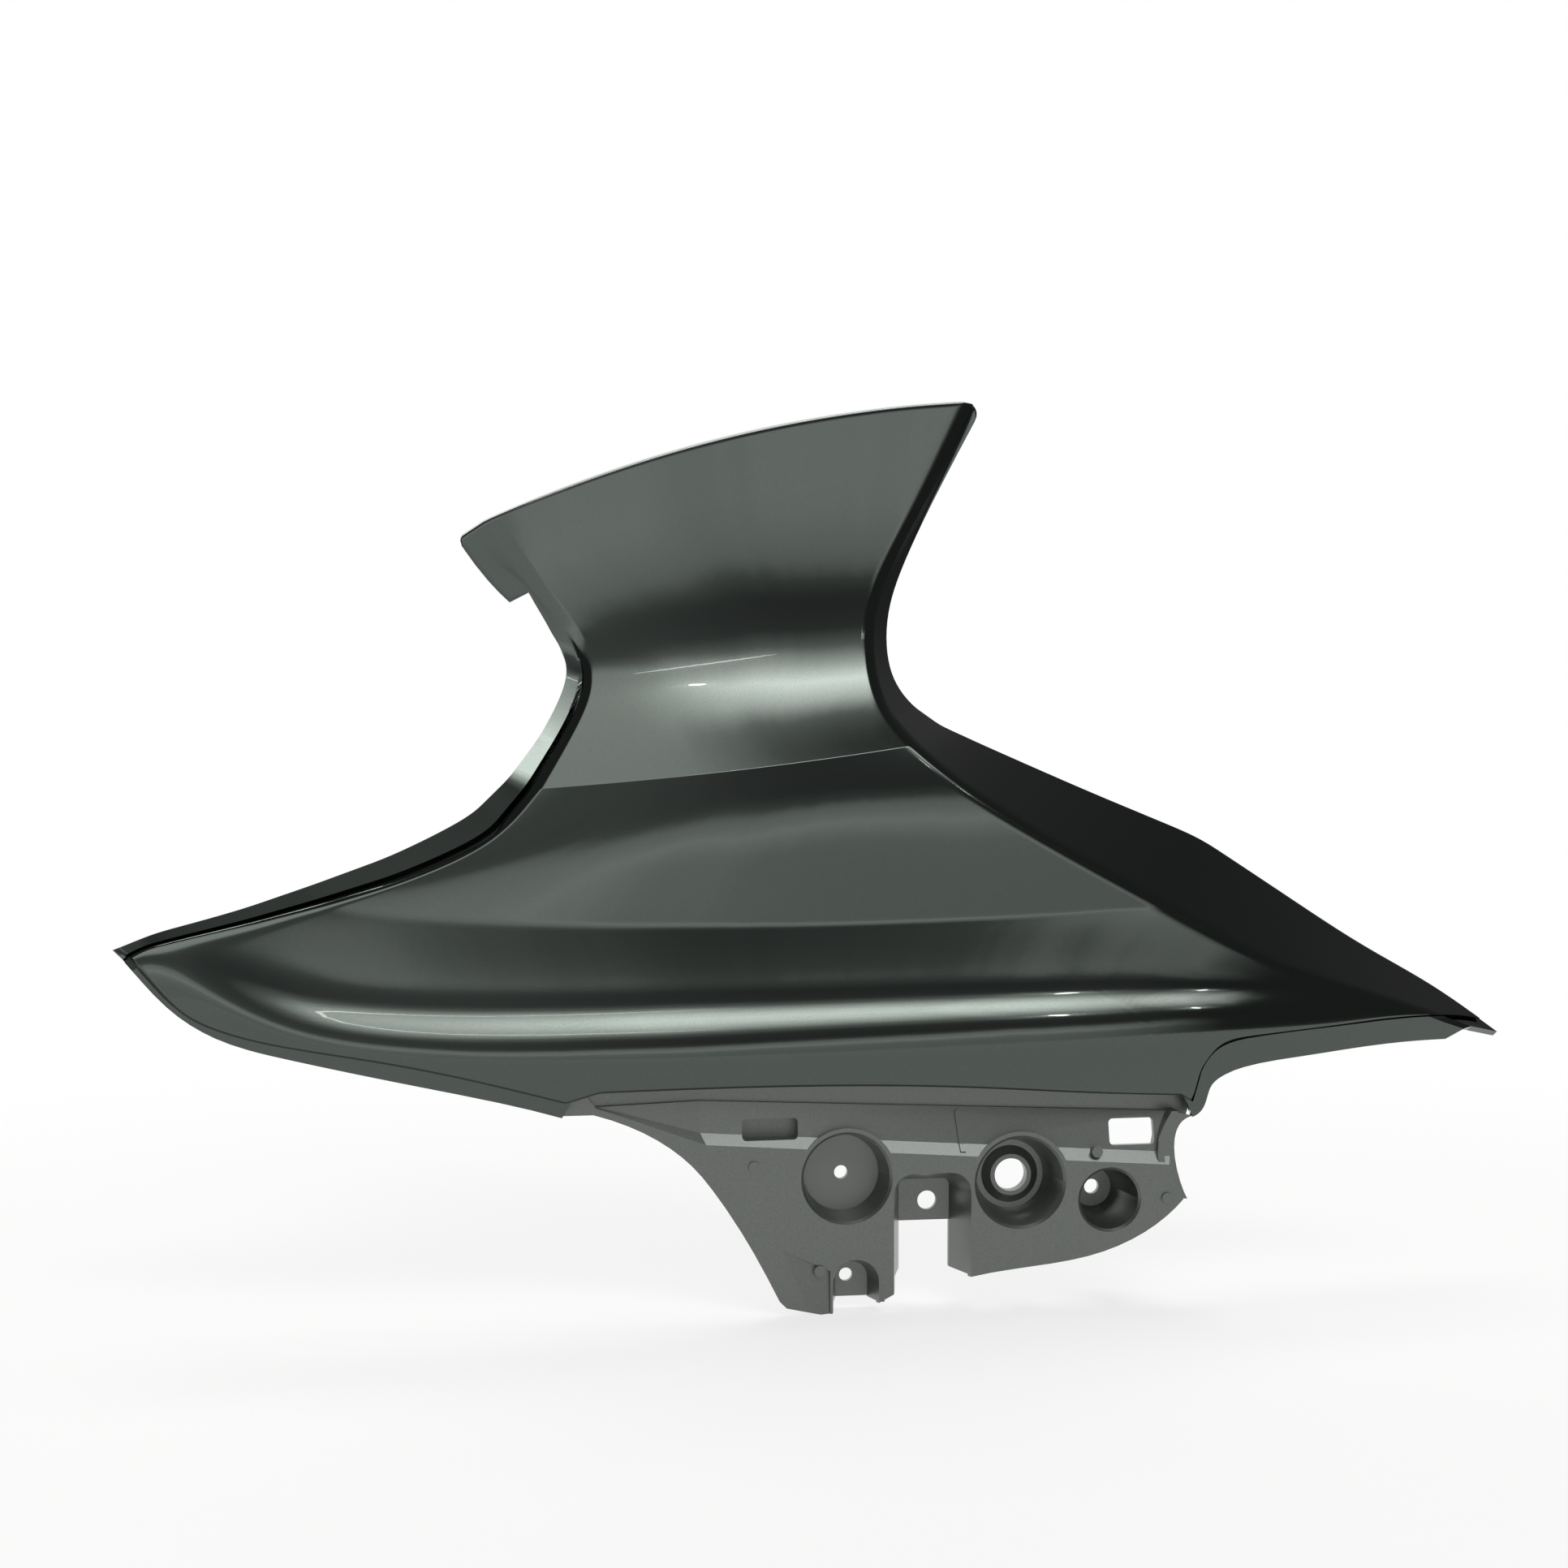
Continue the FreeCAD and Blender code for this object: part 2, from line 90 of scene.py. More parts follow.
# The lowest stations fan out from the right tip: how far their bow leans to the right, how soon it sets in
FAN_LEAN = (5, 5, 1, 1, 1)
FAN_ONSET = 14
# How late the depth turns towards the left rim and towards the right rim
FAN_POWERS = (8, 12)
BODY_POWERS = (3, 3)
# A station's points: lip edge, foot, brow, left rim, shares of the way across, right rim, turn, wall edge
ACROSS = (0.06, 0.15, 0.33, 0.55, 0.77, 0.90)
LEFT_RIM = 3
RIGHT_RIM = LEFT_RIM + len(ACROSS) + 1
NET_COLUMNS = RIGHT_RIM + 3
# The lower edge (x, z), from left to right
CREST_LEFT = [(-322, 112), (-307, 100), (-286, 78), (-272, 71), (-244, 63.7), (-206, 57),
              (-171, 49.5), (-124.5, 37)]
CREST_MIDDLE = [(-110, 41.5), (-67, 42.3), (53, 40), (124, 35), (152.5, 33.6)]
CREST_CORNER = (157, 30.5)
CREST_RIGHT = [(160, 44.4), (169, 55.6), (184.5, 59.4), (228, 62.7), (302, 61.3), (325, 54)]
CREST_POINTS = 160          # on each curve of it

# Stations at which the skin bends sharply: how close the bend is held at the left rim and the right rim,
# how far the bend lies towards the station below and towards the one above
CREASES = {5: (0.16, 0.06, 0.17, 0.17), 8: (0.015, 0.015, 0.17, 0.17)}
RIM_HOLD = 0.3              # how close it is held beyond the rims
HOLD_ROWS = 2               # rows on either side that hold a bend
# Small moves of the skin: points of a station, and how far each of them moves back
SWELL_COLUMNS = (3, 4, 5, 7, 10, 11)
SWELL = {2: (0, -1.5, -2.0, 0, 0, 0), 3: (0, 0.8, 1.7, 0.6, 0.3, 0), 4: (0, 0, -0.1, -1.2, -1.0, 0),
         14: (0, -0.4, -0.4, -0.4, -0.4, 0)}

HOOK = (231, 253, 0.42)     # the left lip narrows between these heights, to this share below the hook
NOTCH = (6.0, 14.0)         # height of the notch beside the hook, how far above and below it fades
LIP_BLEND = (224, 240)      # the left lip's step fades out between these heights
LIP_TILT = (160, 190, 0.18)     # it leans back with this slope, which fades out between these heights
LIP_GROOVE = (195, 220, 2.5)    # the groove beside it is this deep, and fades out between these heights
SIDE_LIP = (272, 345, 0.7)  # the blade's right lip grows between these heights to this share of the wall
SIDE_LIP_ONSET = 0.25       # its step is whole after this share of its height
TOP_CORNERS = (3.0, 6.0)    # rounding of the blade's left and right top corners
TOP_ROUND = 0.7             # rounding of the top edge
ROLL_START = 0.4            # that rounding ends at this share of the roll
EDGE_ROUND = 2.0            # rounding of the lower edge

# Fineness of the skin's mesh. Places across the skin count the spans of its spline from the left rim.
MAIN_COLUMNS = 200
MAIN_MARGIN = 0.06          # the plain skin starts and ends this far from its rims
CORNER_COLUMNS = 24         # more columns where the lower edge jumps
CORNER_SPAN = (3.78, 4.0)   # between these places
LIP_COLUMNS = 18
LIP_SHARE = 0.80            # the lip's flat part; the rest falls into the groove beside the skin
STEP_COLUMNS = 4            # on the step beside the lip
STEP_SHARE = 0.6            # the step's straight part
RIM_COLUMNS = 14            # columns from the lip's foot over the rounded rim
TURN_SHARE = 0.06           # the turn into the end wall ends here
WALL_COLUMNS = 16
WALL_START = 0.1            # and the wall's own columns start here
SKIN_ROWS = 150
ROW_POWER = 1.1             # closer rows low down, at the ridge
LAST_ROWS = (0.9975, 0.999, 1.0)    # close rows below the top edge
ROW_SAMPLES = 1200          # samples up a column to find where the lower edge cuts it
PACE_SAMPLES = 10           # samples below the top edge that give its pace in millimetres
EDGE_POINTS = 5
TOP_POINTS = 8
SHADOW_LINE_ROWS = 3              # rows of the lower edge that face down, given dark bare plastic as a painted shadow line

# What is taken over from the CAD node
SAME = 0.35                 # a CAD face this close to the skin is part of it
FLANGE_TOP = 120            # no face of the flange or of the lower lips reaches higher
LIP_REACH = (-118, 155)     # flange faces outside these x are the painted lips
BACK_FACING = 0.3           # a face that looks this far to the back is bare inside
SHARP_ANGLE = 40            # degrees from which an edge is shaded sharp

CAMERA = (-228.1, -1278.2, 241.6)
TARGET = (-25.06, 4.0, 173.5)
LENS = 67.3
SENSOR = 36.0

GLOSS, SATIN, RAW_AND_SHADE = 0, 1, 2     # material numbers


# ---------------------------------------------------------------- curves

def basis(count, t):
    # Weights of a uniform clamped B-spline, one row per parameter.
    top = count - DEGREE
    knots = np.concatenate([np.zeros(DEGREE), np.arange(top + 1), np.full(DEGREE, top)]).astype(float)
    t = np.clip(np.asarray(t, float), 0, top - LAST_GAP)
    weights = [((t >= knots[i]) & (t < knots[i + 1])).astype(float) for i in range(len(knots) - 1)]
    for d in range(1, DEGREE + 1):
        raised = []
        for i in range(len(knots) - 1 - d):
            value = np.zeros_like(t)
            left = knots[i + d] - knots[i]
            right = knots[i + d + 1] - knots[i + 1]
            if left > 0:
                value = value + (t - knots[i]) / left * weights[i]
            if right > 0:
                value = value + (knots[i + d + 1] - t) / right * weights[i + 1]
            raised.append(value)
        weights = raised
    return np.stack(weights, -1)


def spline(points, count=CREST_POINTS):
    # Natural cubic curve through points, spaced by their distances.
    p = np.array(points, float)
    h = np.linalg.norm(np.diff(p, axis=0), axis=1)
    t = np.concatenate([[0.0], np.cumsum(h)])
    system = np.eye(len(p))
    rhs = np.zeros_like(p)
    for i in range(1, len(p) - 1):
        system[i, i - 1:i + 2] = h[i - 1], 2 * (h[i - 1] + h[i]), h[i]
        rhs[i] = 6 * ((p[i + 1] - p[i]) / h[i] - (p[i] - p[i - 1]) / h[i - 1])
    curve = np.linalg.solve(system, rhs)
    s = np.linspace(0, t[-1], count)
    k = np.clip(np.searchsorted(t, s, side="right") - 1, 0, len(h) - 1)
    b = ((s - t[k]) / h[k])[:, None]
    a = 1 - b
    hk = h[k][:, None]
    return a * p[k] + b * p[k + 1] + ((a ** 3 - a) * curve[k] + (b ** 3 - b) * curve[k + 1]) * hk ** 2 / 6


def lerp(a, b, t):
    t = np.asarray(t, float)[..., None]
    return a * (1 - t) + b * t


def bend(a, corner, b, count=5):
    # Round corner between a and b.
    t = np.linspace(0, 1, count)[..., None]
    return a * (1 - t) ** 2 + corner * 2 * t * (1 - t) + b * t ** 2


def progress(value, start, end):
    # 0 up to the start, 1 from the end on.
    return np.clip((value - start) / (end - start), 0, 1)


def lengths(vectors):
    return np.linalg.norm(vectors, axis=-1, keepdims=True)


def unit(vectors):
    return vectors / np.maximum(lengths(vectors), TINY)


# ---------------------------------------------------------------- skin as in the source

def section(index, rise=0.0, back=0.0):
    # The points of one station.
    (xl, zl), (xa, za), (xr, zr), (xe, ze), mid, yl, yr, ye, bow, step = STATIONS[index]
    fanned = index < len(FAN_LEAN)
    left_power, right_power = FAN_POWERS if fanned else BODY_POWERS

    def main(u):
        if fanned:
            shape = (1 - (1 - u) ** FAN_ONSET) * (1 - u ** FAN_LEAN[index])
        else:
            shape = 4 * u * (1 - u)
        y = mid + (yl - mid) * (1 - u) ** left_power + (yr - mid) * u ** right_power
        return np.array([xl + (xr - xl) * u, y, zl + (zr - zl) * u - bow * shape])

    span = math.hypot(xr - xl, zr - zl)
    out = np.array([xa - xl, 0.0, za - zl])
    out /= np.linalg.norm(out)
    edge = np.array([xa, yl + step, za])
    foot = np.array([xl, yl + step, zl]) + out * STEP_DRAFT
    brow = main(0) + (foot - main(0)) * BROW
    wall = np.array([xe, ye, ze])
    run = wall - main(1)
    turn = main(1) + run * min(RIM / np.linalg.norm(run), TURN_LIMIT)
    points = [edge, foot, brow, main(RIM / span)]
    points += [main(u) for u in ACROSS]
    points += [main(1 - RIM / span), turn, wall]
    return np.array(points) + np.array([0.0, back, rise])


def net_outer():
    # The stations, with their small moves, the sharp bends and the roll at the top.
    last = len(STATIONS) - 1
    rows = [section(i) for i in range(last)]
    rows.append(section(last, rise=-TOP_RISE))
    column = np.arange(NET_COLUMNS)
    for index, depth in SWELL.items():
        rows[index][:, 1] += np.interp(column, SWELL_COLUMNS, depth, 0, 0)
    steps = range(1, HOLD_ROWS + 1)
    for index in sorted(CREASES, reverse=True):
        below, row, above = rows[index - 1:index + 2]
        left, right, down, up = CREASES[index]
        corner = row + (below - row) * down + (above - row) * up
        hold = np.interp(column, (LEFT_RIM, RIGHT_RIM), (left, right), RIM_HOLD, RIM_HOLD)[:, None]
        rows[index:index + 1] = ([corner + (below - corner) * hold * k for k in reversed(steps)] + [corner]
                                 + [corner + (above - corner) * hold * k for k in steps])
    rows.append(section(last, back=TOP_ROLL))
    return np.array(rows)


def net_offset(net, distance):
    # The net moved to the inside, mitred at every bend so that the wall keeps its thickness.
    moved = np.empty_like(net)
    rows, columns = net.shape[:2]
    for i in range(rows):
        along = net[min(i + 1, rows - 1)] - net[max(i - 1, 0)]
        for j in range(columns):
            sides = []
            for a, b in ((j - 1, j), (j, j + 1)):
                if a < 0 or b >= columns:
                    continue
                normal = np.cross(net[i, b] - net[i, a], along[j])
                normal /= np.linalg.norm(normal)
                sides.append(normal if normal[1] > 0 else -normal)
            n1, n2 = sides[0], sides[-1]
            moved[i, j] = net[i, j] + (n1 + n2) * (distance / (1 + n1.dot(n2)))
    return moved


def crest_line():
    return np.vstack([spline(CREST_LEFT), spline(CREST_MIDDLE), [CREST_CORNER], spline(CREST_RIGHT)])


def column_weights():
    # Weights over the net's columns from the left lip's edge to the end wall's edge.
    inner = RIGHT_RIM - LEFT_RIM + 1
    top = inner - DEGREE

    def main(q):
        weights = np.zeros((np.size(q), NET_COLUMNS))
        weights[:, LEFT_RIM:RIGHT_RIM + 1] = basis(inner, np.atleast_1d(q))
        return weights

    uniform = np.linspace(MAIN_MARGIN, top - MAIN_MARGIN, MAIN_COLUMNS)
    corner = np.linspace(*CORNER_SPAN, CORNER_COLUMNS)
    across = np.unique(np.concatenate([uniform, corner]))
    edge, foot, brow, left = np.eye(NET_COLUMNS)[:LEFT_RIM + 1]
    right, turn, wall = np.eye(NET_COLUMNS)[RIGHT_RIM:]
    over_left = (brow + left) / 2
    over_right = (right + turn) / 2
    steps = [lerp(edge, foot, np.linspace(0, LIP_SHARE, LIP_COLUMNS)),
             lerp(foot, brow, np.linspace(0, STEP_SHARE, STEP_COLUMNS)),
             bend((foot + 2 * brow) / 3, brow, over_left)[1:],
             bend(over_left, left, main(MAIN_MARGIN)[0])[1:-1],
             main(across),
             bend(main(top - MAIN_MARGIN)[0], right, over_right)[1:],
             bend(over_right, turn, lerp(turn, wall, TURN_SHARE))[1:],
             lerp(turn, wall, np.linspace(WALL_START, 1, WALL_COLUMNS))]
    return np.vstack(steps)


def corner_drop(lines, r):
    # How much shorter each column ends, in rows, so that the two top corners are round.
    ends = lines[:, -1]
    drop = np.zeros(len(lines))
    for corner, radius in zip((ends[0], ends[-1]), TOP_CORNERS):
        inward = np.clip(radius - np.linalg.norm(ends - corner, axis=-1), 0, radius)
        drop += radius - np.sqrt(radius ** 2 - inward ** 2)
    pace = np.linalg.norm(ends - lines[:, -PACE_SAMPLES], axis=-1) / (r[-1] - r[-PACE_SAMPLES])
    return drop / pace


def trimmed(net, weights, crest, rows):
    # Points of a skin above its lower edge: one line of points from the edge to the top per column.
    count = len(net) - 1
    top = count - DEGREE
    r = np.linspace(0, top, ROW_SAMPLES)
    lines = np.einsum("ri,icx,kc->krx", basis(count, r), net[:count], weights)
    above = lines[..., 2] - np.interp(lines[..., 0], crest[:, 0], crest[:, 1])
    start = np.zeros(len(weights))
    for k, height in enumerate(above):
        low = np.nonzero(height < 0)[0]
        if len(low) and low[-1] + 1 < len(r):
            i = low[-1]
            start[k] = r[i] + (r[i + 1] - r[i]) * height[i] / (height[i] - height[i + 1])
    spread = start[:, None] + (top - corner_drop(lines, r) - start)[:, None] * rows[None, :]
    return np.einsum("kri,icx,kc->krx", basis(count, spread), net[:count], weights)


def lower_edge(outside, inside):
    # The rounded lower edge, and the skin above it.
    first = outside[:, 0]
    up = unit(outside[:, 1] - first)
    back = unit(inside[:, 0] - first)
    lifted = first[:, None] + up[:, None] * EDGE_ROUND
    body = np.where(lengths(outside - first[:, None]) > EDGE_ROUND, outside, lifted)[:, 1:]
    edge = np.stack([bend(f + b * EDGE_ROUND, f, f + u * EDGE_ROUND, EDGE_POINTS)
                     for f, b, u in zip(first, back, up)])
    return edge, body


def roll_step(net, weights):
    # From the top edge to the end of the roll behind it, for every column.
    return np.einsum("cx,kc->kx", net[-1] - net[-2], weights)


def top_edge(body, step):
    # The top edge, rounded into the roll.
    crown = body[:, -1]
    roll = crown + step
    down = body[:, -2] - crown
    down *= TOP_ROUND / lengths(down)
    top = np.stack([bend(c + d, c, c + (e - c) * ROLL_START, TOP_POINTS - 1)
                    for c, d, e in zip(crown, down, roll)])
    return np.concatenate([top, roll[:, None]], axis=1)


def side_lip(points):
    # The end wall of the blade is a step with a lip behind it, which gets wider towards the top.
    start, end, widest = SIDE_LIP
    wall = points[-WALL_COLUMNS:]
    height = progress(wall[0, :, 2], start, end)
    width = widest * height ** 2
    share = np.linspace(0, 1, WALL_COLUMNS)[:, None]
    step = np.clip(share / (1 - width)[None, :], 0, 1)
    fall = 1 - (1 - step) ** 2
    depth = wall[0, :, 1] + (wall[-1, :, 1] - wall[0, :, 1]) * np.where(width > 0, fall, share)
    blend = np.minimum(height / SIDE_LIP_ONSET, 1)
    wall[:, :, 1] = wall[:, :, 1] * (1 - blend) + depth * blend


def left_lip(points):
    # The left lip leans back at the left tip, has a groove beside it low down, and no step on the blade.
    lip = points[:LIP_COLUMNS]
    foot = points[LIP_COLUMNS]
    full, gone, slope = LIP_TILT
    away = np.linalg.norm((lip - foot)[..., (0, 2)], axis=-1)
    lip[..., 1] += slope * progress(foot[:, 2], gone, full) * away
    full, gone, depth = LIP_GROOVE
    foot[:, 1] += depth * progress(foot[:, 2], gone, full)
    rim = points[:LIP_COLUMNS + RIM_COLUMNS]
    run = np.linalg.norm((rim - rim[:1])[..., (0, 2)], axis=-1)
    plain = rim[0, :, 1] + (rim[-1, :, 1] - rim[0, :, 1]) * run / np.maximum(run[-1], TINY)
    rim[..., 1] += (plain - rim[..., 1]) * progress(rim[-1, :, 2], *LIP_BLEND)


def cut_hook(points):
    # Below the hook the left lip is cut back; the cut runs out further down, and the hook points down.
    narrow, tip, keep = HOOK
    notch, fade = NOTCH
    lip = points[:LIP_COLUMNS]
    foot = points[LIP_COLUMNS]
    height = lip[0, :, 2].copy()
    whole = height > tip
    share = np.where(whole, 1, 1 - (1 - keep) * progress(height, narrow, tip))
    lip[:] = foot + (lip - foot) * share[:, None]
    across = (1 - np.linspace(0, LIP_SHARE, LIP_COLUMNS))[:, None] * share
    rise = np.minimum(across / keep, np.where(whole, (1 - across) / (1 - keep), 1))
    lip[..., 2] += rise * notch * np.clip(1 - abs(height - tip) / fade, 0, 1)


def shell_faces(columns, count):
    # Faces and material numbers of the outside, the four edges and the inside.
    a = np.arange(columns * count).reshape(columns, count)
    b = a + columns * count
    sides = [(GLOSS, a[:-1, :-1], a[1:, :-1], a[1:, 1:], a[:-1, 1:]),
             (RAW_AND_SHADE, a[:-1, 0], b[:-1, 0], b[1:, 0], a[1:, 0]),
             (GLOSS, a[:-1, -1], a[1:, -1], b[1:, -1], b[:-1, -1]),
             (GLOSS, a[0, :-1], a[0, 1:], b[0, 1:], b[0, :-1]),
             (GLOSS, a[-1, :-1], b[-1, :-1], b[-1, 1:], a[-1, 1:]),
             (RAW_AND_SHADE, b[:-1, :-1], b[:-1, 1:], b[1:, 1:], b[1:, :-1])]
    faces = [np.stack([corner.ravel() for corner in corners], axis=1) for _, *corners in sides]
    materials = np.concatenate([np.full(len(f), side[0]) for f, side in zip(faces, sides)])
    # The lower edge face and the lowest rows of the outside take the dark bare plastic: painted shade, a
    # dark shadow line along the lower edge.
    materials[:len(faces[0])].reshape(columns - 1, count - 1)[:, :SHADOW_LINE_ROWS] = RAW_AND_SHADE
    return np.concatenate(faces), materials


def skin_mesh():
    # Vertices, faces and material numbers of the skin: outside, inside and the edges between them.
    outer_net = net_outer()
    inner_net = net_offset(outer_net, WALL)
    weights = column_weights()
    crest = crest_line()
    rows = np.append(np.linspace(0, 1, SKIN_ROWS)[:-1] ** ROW_POWER, LAST_ROWS)
    outside = trimmed(outer_net, weights, crest, rows)
    inside = trimmed(inner_net, weights, crest, rows)

    edge, body = lower_edge(outside, inside)
    top = top_edge(body, roll_step(outer_net, weights))
    outside = np.concatenate([edge, body[:, :-1], top], axis=1)
    side_lip(outside)
    left_lip(outside)
    cut_hook(outside)

    # The inside has the same number of rows as the outside.
    inner_roll = inside[:, -1] + roll_step(inner_net, weights)
    foot = lerp(inside[:, :1], inside[:, 1:2], np.linspace(0, 1, EDGE_POINTS, endpoint=False))
    head = lerp(inside[:, -1:], inner_roll[:, None], np.linspace(0, 1, TOP_POINTS))
    inside = np.concatenate([foot, inside[:, 1:-1], head], axis=1)
    cut_hook(inside)

    vertices = np.concatenate([outside.reshape(-1, 3), inside.reshape(-1, 3)])
    low, high = (np.array(corner) / MM for corner in cad_box)
    return np.clip(vertices, low, high), *shell_faces(*outside.shape[:2])


# ---------------------------------------------------------------- flange from the frame

def island_numbers(count, triangles):
    # Vertices that hang together get the same number: one for each CAD face.
    label = np.arange(count)
    while True:
        low = label[triangles].min(axis=1)
        new = label.copy()
        for corner in range(3):
            np.minimum.at(new, triangles[:, corner], low)
        if np.array_equal(new, label):
            return label
        label = new


def flange_mesh(skin_vertices, skin_faces):
    # The CAD node's faces that aren't skin, chosen and painted face by face.
    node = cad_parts["fairing_panel"]
    points = np.array([node.matrix_world @ v.co for v in node.data.vertices]) / MM
    triangles = np.array([p.vertices[:] for p in node.data.polygons if len(p.vertices) == 3])
    label = island_numbers(len(points), triangles)
    size = np.maximum(np.bincount(label, minlength=len(points)), 1)

    def mean(values):
        return np.bincount(label, values, len(points)) / size

    tree = BVHTree.FromPolygons([Vector(p) for p in skin_vertices],
                                [list(map(int, f)) for f in skin_faces])
    far = np.array([tree.find_nearest(Vector(p))[3] for p in points])
    highest = np.full(len(points), -np.inf)
    np.maximum.at(highest, label, points[:, 2])
    taken = (mean(far) > SAME) & (highest < FLANGE_TOP)
    triangles = triangles[taken[label[triangles[:, 0]]]]

    island = label[triangles[:, 0]]
    a, b, c = (points[triangles[:, k]] for k in range(3))
    facing = np.zeros((len(points), 3))
    np.add.at(facing, island, np.cross(b - a, c - a))
    behind = facing[:, 1] > BACK_FACING * np.linalg.norm(facing, axis=1)
    middle = mean(points[:, 0])
    lip = (middle < LIP_REACH[0]) | (middle > LIP_REACH[1])
    materials = np.where(behind, RAW_AND_SHADE, np.where(lip, GLOSS, SATIN))[island]
    used, small = np.unique(triangles, return_inverse=True)
    return points[used], small.reshape(-1, 3), materials


# ---------------------------------------------------------------- shader nodes

def noise(tree, scale, detail):
    place = tree.nodes.new("ShaderNodeTexCoord").outputs["Object"]
    node = tree.nodes.new("ShaderNodeTexNoise")
    node.inputs["Scale"].default_value = scale
    node.inputs["Detail"].default_value = detail
    tree.links.new(place, node.inputs["Vector"])
    return node.outputs["Fac"]


def ramp_node(tree, height, stops):
    node = tree.nodes.new("ShaderNodeValToRGB")
    elements = node.color_ramp.elements
    while len(elements) < len(stops):
        elements.new(0.5)
    for element, (angle, level) in zip(elements, stops):
        element.position = (angle + 90) / 180
        element.color = (level, level, level, 1)
    tree.links.new(height, node.inputs["Fac"])
    return node.outputs["Color"]


def smooth(tree, value, low, high):
    node = tree.nodes.new("ShaderNodeMapRange")
    node.interpolation_type = "SMOOTHSTEP"
    node.inputs["From Min"].default_value = low
    node.inputs["From Max"].default_value = high
    tree.links.new(value, node.inputs["Value"])
    return node.outputs["Result"]


def mix(tree, factor, a, b):
    # Between two greys, colours or sockets.
    node = tree.nodes.new("ShaderNodeMix")
    node.data_type = "RGBA"
    tree.links.new(factor, node.inputs["Factor"])
    for name, value in (("A", a), ("B", b)):
        if isinstance(value, float):
            node.inputs[name].default_value = (value, value, value, 1)
        elif isinstance(value, tuple):
            node.inputs[name].default_value = (*value, 1)
        else:
            tree.links.new(value, node.inputs[name])
    return node.outputs["Result"]


def math_node(tree, operation, *values):
    node = tree.nodes.new("ShaderNodeMath")
    node.operation = operation
    for socket, value in zip(node.inputs, values):
        if isinstance(value, float):
            socket.default_value = value
        else:
            tree.links.new(value, socket)
    return node.outputs[0]


# ---------------------------------------------------------------- materials

FLAKE_SCALE = 1600.0
FLAKE_DETAIL = 1.0
WAVE_DETAIL = 2.0


def principled(name, color, metallic, roughness):
    material = bpy.data.materials.new(name)
    material.use_nodes = True
    shader = material.node_tree.nodes["Principled BSDF"]
    shader.inputs["Base Color"].default_value = (*color, 1)
    shader.inputs["Metallic"].default_value = metallic
    shader.inputs["Roughness"].default_value = roughness
    return material, shader


def ripple(tree, shader, sockets, scale, depth):
    # Faint waves of the surface, with their depth in metres.
    bump = tree.nodes.new("ShaderNodeBump")
    bump.inputs["Distance"].default_value = depth
    tree.links.new(noise(tree, scale, WAVE_DETAIL), bump.inputs["Height"])
    for name in sockets:
        tree.links.new(bump.outputs["Normal"], shader.inputs[name])


def metal_paint(name, dark, light, metallic, roughness, coat, coat_roughness, wave_scale, wave_depth):
    # Paint with metal flakes under clear lacquer: its colour goes from dark to light from grain to grain.
    plain = [(a + b) / 2 for a, b in zip(dark, light)]
    material, shader = principled(name, plain, metallic, roughness)
    shader.inputs["Coat Weight"].default_value = coat
    shader.inputs["Coat Roughness"].default_value = coat_roughness
    tree = material.node_tree
    flakes = mix(tree, noise(tree, FLAKE_SCALE, FLAKE_DETAIL), dark, light)
    tree.links.new(flakes, shader.inputs["Base Color"])
    ripple(tree, shader, ("Normal", "Coat Normal"), wave_scale, wave_depth)
    return material


def gloss_paint():
    return metal_paint("gloss_paint", dark=(0.037, 0.048, 0.041), light=(0.057, 0.072, 0.061), metallic=1.0,
                       roughness=0.12, coat=1.0, coat_roughness=0.015, wave_scale=220.0, wave_depth=4e-6)


def satin_paint():
    return metal_paint("satin_paint", dark=(0.100, 0.110, 0.101), light=(0.160, 0.174, 0.161), metallic=0.7,
                       roughness=0.38, coat=0.6, coat_roughness=0.3, wave_scale=700.0, wave_depth=8e-6)


def raw_plastic_and_shade():
    # Dark bare plastic of the inside, also used as painted shade for the shadow line along the lower edge.
    material, shader = principled("raw_plastic_and_shade", color=(0.022, 0.024, 0.024), metallic=0.0, roughness=0.5)
    shader.inputs["Specular IOR Level"].default_value = 0.2
    ripple(material.node_tree, shader, ("Normal",), scale=1500.0, depth=2e-5)
    return material


# ---------------------------------------------------------------- object

def add_object(name, data):
    thing = bpy.data.objects.new(name, data)
    bpy.context.scene.collection.objects.link(thing)
    return thing


def build_panel():
    vertices, quads, skin_slots = skin_mesh()
    more, triangles, flange_slots = flange_mesh(vertices, quads)
    faces = quads.tolist() + (triangles + len(vertices)).tolist()
    slots = np.concatenate([skin_slots, flange_slots]).astype(np.int32)
    mesh = bpy.data.meshes.new("headlight_fairing")
    mesh.from_pydata((np.concatenate([vertices, more]) * MM).tolist(), [], faces)
    for make in (gloss_paint, satin_paint, raw_plastic_and_shade):
        mesh.materials.append(make())
    mesh.polygons.foreach_set("material_index", slots)
    mesh.validate()
    mesh.shade_smooth()
    mesh.set_sharp_from_angle(angle=math.radians(SHARP_ANGLE))
    panel = add_object("headlight_fairing", mesh)
    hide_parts("fairing_panel")
    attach(panel, "root")


# ---------------------------------------------------------------- studio

# Brightness of the room in front of the panel against height above the horizon, in degrees:
# towards the left of the panel and towards the right of it
ROOM_LEFT = [(-90, 0.6), (-6, 0.9), (0, 1.1), (3.6, 1.6), (5.2, 1.35), (9, 1.15), (10.2, 0.95),
             (12.2, 0.45), (18, 0.38), (27, 0.4), (31, 0.7), (35, 1.7), (46, 2.0), (56, 1.9),
             (64, 1.7), (80, 1.0), (90, 1.0)]
ROOM_RIGHT = [(-90, 0.6), (-6, 0.8), (0, 0.88), (3.6, 1.55), (5.2, 1.2), (8.2, 1.0), (10.5, 0.3),
              (14, 0.16), (25, 0.2), (31, 0.8), (37, 3.2), (45, 7.6), (54, 4.2), (60, 0.8),
              (66, 0.2), (80, 0.2), (90, 1.0)]
